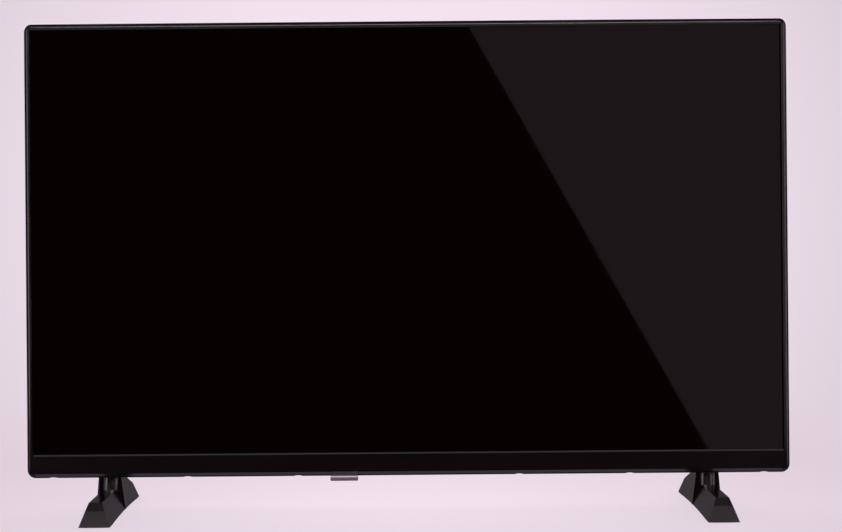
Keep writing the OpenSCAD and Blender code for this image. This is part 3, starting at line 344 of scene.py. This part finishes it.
def moulded(name, dark, light, rough, grain, depth, strength=0.5, ior=1.5, stretch=None, metal=0.0):
    """Plastic, rubber, paper or metal with fine grain, cloudy colour and uneven gloss."""
    material, tree, shader, where = start(name)
    cloud = noise(tree, where, scale=22.0, detail=4.0, stretch=stretch)
    fine = noise(tree, where, scale=grain, detail=2.0, stretch=stretch)
    half_cloud = spread(tree, cloud, 0.0, 0.5, source=(0.25, 0.75))
    both = calculate(tree, "MULTIPLY_ADD", fine, 0.5, half_cloud)
    colour = mix_colours(tree, spread(tree, both, 0, 1, source=(0.2, 0.8)), dark, light)
    tree.links.new(colour, shader.inputs["Base Color"])
    tree.links.new(spread(tree, cloud, *rough), shader.inputs["Roughness"])
    shader.inputs["IOR"].default_value = ior
    shader.inputs["Metallic"].default_value = metal
    bump(tree, shader, fine, depth, strength)
    return material


def screen_glass():
    """Black glass with slight clouds in its tone and its gloss."""
    material, tree, shader, where = start("screen_glass")
    cloud = noise(tree, where, scale=9.0, detail=5.0)
    colour = cloudy(tree, cloud, (0.0009, 0.0002, 0.0001), (0.0014, 0.0004, 0.0003))
    tree.links.new(colour, shader.inputs["Base Color"])
    haze = noise(tree, where, scale=30.0, detail=6.0)
    tree.links.new(spread(tree, haze, 0.012, 0.03), shader.inputs["Roughness"])
    shader.inputs["IOR"].default_value = 1.5
    return material


def smoked_window():
    """Smoked window with one clear band, darker at its thick lower edge; it is painted inside the rim."""
    edge_end = 35.2 * MM
    band_start = 35.7 * MM
    band_end = 37.0 * MM
    paint_start = 37.3 * MM
    material, tree, shader, where = start("smoked_window")
    height = split_axes(tree, where)["Z"]
    cloud = noise(tree, where, scale=300.0, detail=2.0)
    thin = cloudy(tree, cloud, (0.66, 0.60, 0.64), (0.76, 0.70, 0.74))
    thick = cloudy(tree, cloud, (0.13, 0.105, 0.12), (0.19, 0.155, 0.175))
    paint = cloudy(tree, cloud, (0.040, 0.034, 0.037), (0.056, 0.048, 0.052))
    smoked = mix_colours(tree, ramp(tree, height, edge_end, band_start), thick, thin)
    painted = ramp(tree, height, band_end, paint_start)
    tree.links.new(mix_colours(tree, painted, smoked, paint), shader.inputs["Base Color"])
    tree.links.new(spread(tree, painted, 0.92, 0.0, source=(0, 1)), shader.inputs["Transmission Weight"])
    tree.links.new(spread(tree, cloud, 0.08, 0.16), shader.inputs["Roughness"])
    shader.inputs["IOR"].default_value = 1.49
    return material


def clear_plastic(name, tint):
    """Clear plastic with a faint drift in its tint."""
    material, tree, shader, where = start(name)
    cloud = noise(tree, where, scale=200.0, detail=2.0)
    darker_tint = tuple(0.97 * channel for channel in tint)
    tree.links.new(cloudy(tree, cloud, tint, darker_tint), shader.inputs["Base Color"])
    tree.links.new(spread(tree, cloud, 0.05, 0.15), shader.inputs["Roughness"])
    shader.inputs["Transmission Weight"].default_value = 0.85
    shader.inputs["IOR"].default_value = 1.49
    return material


def circuit_board(name, mask, copper):
    """Solder mask over a maze of tracks."""
    spacing = 0.09
    material, tree, shader, where = start(name)
    cells = tree.nodes.new("ShaderNodeTexVoronoi")
    cells.distance = "CHEBYCHEV"
    cells.feature = "F1"
    cells.inputs["Scale"].default_value = 220.0
    cells.inputs["Randomness"].default_value = 0.85
    tree.links.new(where, cells.inputs["Vector"])
    lines = calculate(tree, "PINGPONG", cells.outputs["Distance"], spacing)
    track = spread(tree, lines, 0, 1, source=(0.045, 0.06))
    tree.links.new(mix_colours(tree, track, mask, copper), shader.inputs["Base Color"])
    cloud = noise(tree, where, scale=60.0, detail=3.0)
    tree.links.new(spread(tree, cloud, 0.28, 0.42), shader.inputs["Roughness"])
    bump(tree, shader, track, depth=0.04 * MM, strength=0.6)
    return material


def grey(tone):
    return (tone, tone, tone)


# Finishes of the record that the moulded material covers

BRUSHED = {"grain": 2600.0, "depth": 0.01 * MM, "strength": 0.3, "metal": 1.0}
FINISHES = {
    "bezel": dict(dark=(0.0026, 0.0020, 0.0023), light=(0.0046, 0.0036, 0.0041), rough=(0.12, 0.17),
                  grain=3200.0, depth=0.012 * MM, strength=0.15),
    "trim": dict(dark=(0.0040, 0.0024, 0.0030), light=(0.0068, 0.0042, 0.0052), rough=(0.09, 0.13),
                 grain=2600.0, depth=0.01 * MM, strength=0.12, stretch=(0.25, 1, 1)),
    "cover_plastic": dict(dark=(0.0170, 0.0164, 0.0172), light=(0.0235, 0.0227, 0.0239), rough=(0.42, 0.52),
                          grain=1500.0, depth=0.05 * MM, strength=0.55),
    "foot_plastic": dict(dark=(0.0028, 0.0025, 0.0028), light=(0.0052, 0.0047, 0.0052), rough=(0.17, 0.22),
                         grain=2200.0, depth=0.02 * MM, strength=0.3, ior=1.46),
    "button_plastic": dict(dark=(0.010, 0.0095, 0.010), light=(0.017, 0.016, 0.017), rough=(0.4, 0.52),
                           grain=1800.0, depth=0.03 * MM),
    "pad_rubber": dict(dark=grey(0.008), light=grey(0.016), rough=(0.75, 0.9),
                       grain=900.0, depth=0.06 * MM, strength=0.6),
    "foam": dict(dark=grey(0.02), light=grey(0.045), rough=(0.85, 0.97),
                 grain=1400.0, depth=0.1 * MM, strength=0.8),
    "inner_plastic": dict(dark=grey(0.02), light=grey(0.035), rough=(0.45, 0.6),
                          grain=1600.0, depth=0.03 * MM),
    "optical_film": dict(dark=(0.74, 0.77, 0.80), light=(0.84, 0.86, 0.88), rough=(0.25, 0.4),
                         grain=3000.0, depth=0.01 * MM),
    "diffuser": dict(dark=(0.82, 0.82, 0.83), light=grey(0.9), rough=(0.4, 0.55),
                     grain=1200.0, depth=0.02 * MM),
    "reflector": dict(dark=grey(0.86), light=grey(0.94), rough=(0.5, 0.65),
                      grain=800.0, depth=0.02 * MM),
    "led_board": dict(dark=(0.78, 0.78, 0.73), light=(0.86, 0.86, 0.82), rough=(0.35, 0.5),
                      grain=900.0, depth=0.01 * MM),
    "sheet_steel": dict(dark=(0.46, 0.47, 0.48), light=(0.60, 0.61, 0.62), rough=(0.3, 0.45),
                        stretch=(0.05, 1, 1), **BRUSHED),
    "bright_steel": dict(dark=(0.52, 0.52, 0.53), light=(0.66, 0.66, 0.67), rough=(0.22, 0.36), **BRUSHED),
    "black_steel": dict(dark=(0.012, 0.012, 0.013), light=(0.03, 0.03, 0.032), rough=(0.3, 0.45),
                        grain=1500.0, depth=0.02 * MM, strength=0.4, ior=1.6, metal=0.6),
    "plated_steel": dict(dark=(0.55, 0.55, 0.54), light=(0.68, 0.68, 0.67), rough=(0.2, 0.34),
                         stretch=(1, 1, 0.1), **BRUSHED),
    "flex": dict(dark=(0.32, 0.16, 0.035), light=(0.44, 0.24, 0.06), rough=(0.25, 0.4),
                 grain=900.0, depth=0.01 * MM, stretch=(1, 1, 0.05)),
    "chip": dict(dark=grey(0.018), light=grey(0.035), rough=(0.5, 0.65),
                 grain=2500.0, depth=0.03 * MM),
    "heat_aluminium": dict(dark=(0.50, 0.51, 0.52), light=(0.64, 0.65, 0.66), rough=(0.3, 0.44),
                           stretch=(1, 1, 0.06), **BRUSHED),
    "socket_plastic": dict(dark=grey(0.010), light=grey(0.022), rough=(0.36, 0.5),
                           grain=1800.0, depth=0.03 * MM),
    "ivory_plastic": dict(dark=(0.62, 0.58, 0.47), light=(0.74, 0.70, 0.60), rough=(0.35, 0.5),
                          grain=1500.0, depth=0.02 * MM),
    "ribbon": dict(dark=(0.62, 0.62, 0.60), light=(0.80, 0.80, 0.78), rough=(0.35, 0.5),
                   grain=1200.0, depth=0.03 * MM, strength=0.6, stretch=(1, 0.02, 0.02)),
    "ferrite": dict(dark=(0.03, 0.028, 0.026), light=(0.07, 0.066, 0.06), rough=(0.5, 0.7),
                    grain=1100.0, depth=0.05 * MM),
    "capacitor_sleeve": dict(dark=(0.012, 0.012, 0.03), light=(0.03, 0.03, 0.06), rough=(0.25, 0.38),
                             grain=700.0, depth=0.02 * MM),
    "brass_pin": dict(dark=(0.58, 0.47, 0.26), light=(0.72, 0.61, 0.36), rough=(0.2, 0.32),
                      grain=2000.0, depth=0.01 * MM, strength=0.3, stretch=(0.1, 1, 1), metal=1.0),
    "speaker_plastic": dict(dark=grey(0.012), light=grey(0.024), rough=(0.5, 0.65),
                            grain=1400.0, depth=0.04 * MM),
    "driver_steel": dict(dark=(0.12, 0.12, 0.125), light=(0.2, 0.2, 0.21), rough=(0.35, 0.5), **BRUSHED),
    "cone_paper": dict(dark=grey(0.02), light=grey(0.05), rough=(0.7, 0.9),
                       grain=1200.0, depth=0.08 * MM, strength=0.8),
    "surround_rubber": dict(dark=grey(0.008), light=grey(0.016), rough=(0.55, 0.7),
                            grain=1500.0, depth=0.03 * MM),
    "switch_plastic": dict(dark=grey(0.018), light=grey(0.03), rough=(0.4, 0.55),
                           grain=2000.0, depth=0.02 * MM),
}


def make_materials():
    """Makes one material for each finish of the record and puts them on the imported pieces."""
    made = {name: moulded(name, **finish) for name, finish in FINISHES.items()}
    made["screen"] = screen_glass()
    made["smoked_plastic"] = smoked_window()
    made["lens"] = clear_plastic("lens", tint=(0.92, 0.94, 0.96))
    made["green_board"] = circuit_board("green_board", mask=(0.012, 0.11, 0.045), copper=(0.03, 0.20, 0.09))
    made["brown_board"] = circuit_board("brown_board", mask=(0.26, 0.15, 0.05), copper=(0.34, 0.22, 0.09))
    slot_of = {part["node"]: part["material_slot"] for part in frame["record"]["subparts"]}
    for name, piece in nodes.items():
        for slot in piece.material_slots:
            slot.material = made[slot_of[name]]
    return made


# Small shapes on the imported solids

def soften(name, width, joined=True, angle=28.0):
    """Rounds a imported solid's edges that bend more than the angle; joined first merges its flat faces."""
    piece = nodes[name]
    weld = piece.modifiers.new("weld", "WELD")
    weld.merge_threshold = 0.002 * MM
    if joined:
        flat = piece.modifiers.new("flat", "DECIMATE")
        flat.decimate_type = "DISSOLVE"
        flat.angle_limit = math.radians(0.6)
    edge = piece.modifiers.new("edge", "BEVEL")
    edge.width = width
    edge.segments = 3
    edge.limit_method = "ANGLE"
    edge.angle_limit = math.radians(angle)
    edge.harden_normals = True
    edge.miter_outer = "MITER_ARC"


def new_piece(name, shape, slot, made):
    """Turns a bmesh into a piece that rides on the set and takes a finish of the record."""
    bmesh.ops.recalc_face_normals(shape, faces=shape.faces)
    mesh = bpy.data.meshes.new(name)
    shape.to_mesh(mesh)
    shape.free()
    piece = bpy.data.objects.new(name, mesh)
    bpy.context.scene.collection.objects.link(piece)
    mesh.materials.append(made[slot])
    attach(piece, "set")


def add_skin(shape, rings):
    """Closed skin over rings of four points."""
    for a, b in zip(rings, rings[1:]):
        for k in range(4):
            shape.faces.new((a[k], a[(k + 1) % 4], b[(k + 1) % 4], b[k]))
    shape.faces.new(rings[0])
    shape.faces.new(rings[-1])


def add_bar(shape, low, high, tip):
    """Bar along X between two corners; its end at the higher X narrows over the tip's length."""
    narrowing = 0.3 * min(high[1] - low[1], high[2] - low[2])
    rings = []
    for x, inset in ((low[0], 0.0), (high[0] - tip, 0.0), (high[0], narrowing)):
        corners = [(low[1] + inset, low[2] + inset), (high[1] - inset, low[2] + inset),
                   (high[1] - inset, high[2] - inset), (low[1] + inset, high[2] - inset)]
        rings.append([shape.verts.new((x, y, z)) for y, z in corners])
    add_skin(shape, rings)


def row(middle, count, pitch):
    """Evenly spaced places about a middle."""
    return [middle + (i - (count - 1) / 2) * pitch for i in range(count)]


def add_hdmi_contacts(made):
    """Spring contacts on both faces of the tongues in the two HDMI sockets."""
    low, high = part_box("hdmi_sockets")
    half_width = 0.225 * MM
    proud = 0.07 * MM
    pitch = 1.0 * MM
    tip = 0.5 * MM
    root_end = high[0] - 9 * MM
    mouth_end = high[0] - 1.6 * MM
    half_socket = 7.5 * MM
    front_face = low[1] + 2.3 * MM
    rear_face = low[1] + 3.3 * MM
    shape = bmesh.new()
    for middle in (low[2] + half_socket, high[2] - half_socket):
        for face, count in ((front_face, 10), (rear_face, 9)):
            for z in row(middle, count, pitch):
                add_bar(shape, (root_end, face - proud, z - half_width),
                        (mouth_end, face + proud, z + half_width), tip)
    new_piece("hdmi_contacts", shape, "brass_pin", made)


def add_usb_contacts(made):
    """Four spring contacts on the tongue of the USB socket."""
    low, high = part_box("usb_socket")
    half_width = 0.55 * MM
    proud = 0.1 * MM
    tip = 0.6 * MM
    root_end = high[0] - 9 * MM
    mouth_end = high[0] - 1.8 * MM
    face = low[1] + 3.2 * MM
    middle = (low[2] + high[2]) / 2
    inner = 1.0 * MM
    outer = 3.5 * MM
    shape = bmesh.new()
    for z in (middle - outer, middle - inner, middle + inner, middle + outer):
        add_bar(shape, (root_end, face - proud, z - half_width),
                (mouth_end, face + proud, z + half_width), tip)
    new_piece("usb_contacts", shape, "brass_pin", made)


def add_card_pins(made):
    """Two rows of pins at the end of the card slot."""
    low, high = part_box("card_cage")
    count = 34
    pitch = 1.27 * MM
    half = 0.22 * MM
    tip = 0.8 * MM
    root_end = low[0] + 5.5 * MM
    mouth_end = low[0] + 12 * MM
    middle = (low[2] + high[2]) / 2
    shape = bmesh.new()
    for y in (low[1] + 3.36 * MM, low[1] + 4.64 * MM):
        for z in row(middle, count, pitch):
            add_bar(shape, (root_end, y - half, z - half), (mouth_end, y + half, z + half), tip)
    new_piece("card_pins", shape, "brass_pin", made)


def add_thread(made):
    """Screw thread on the dish socket; it rises over its first turn and sinks over its last."""
    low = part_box("tuner_can")[0]
    axis_x = low[0] + 27 * MM
    axis_y = low[1] + 6.2 * MM
    start_z = low[2] + 0.5 * MM
    root = 4.65 * MM
    crest = 4.98 * MM
    pitch = 0.8 * MM
    half_root = 0.4 * pitch
    half_crest = 0.06 * pitch
    turns = 11
    steps = 48
    shape = bmesh.new()
    rings = []
    for i in range(turns * steps + 1):
        turn = i / steps
        angle = 2 * math.pi * turn
        z = start_z + pitch * turn
        top = root + min(1.0, turn, turns - turn) * (crest - root)
        ring = []
        for radius, rise in ((root, -half_root), (top, -half_crest), (top, half_crest), (root, half_root)):
            x = axis_x + radius * math.cos(angle)
            y = axis_y + radius * math.sin(angle)
            ring.append(shape.verts.new((x, y, z + rise)))
        rings.append(ring)
    add_skin(shape, rings)
    new_piece("dish_thread", shape, "plated_steel", made)


def main():
    bpy.context.scene.view_settings.view_transform = "Standard"
    add_camera()
    add_world()
    add_floor()
    add_reflection_card()
    add_dark_card()
    add_lamps()
    made = make_materials()
    add_hdmi_contacts(made)
    add_usb_contacts(made)
    add_card_pins(made)
    add_thread(made)
    for name in ("sensor_window", "power_button"):
        soften(name, 0.3 * MM)
    for name in ("foot_left", "foot_right"):
        soften(name, 0.4 * MM, joined=False, angle=12.0)


main()
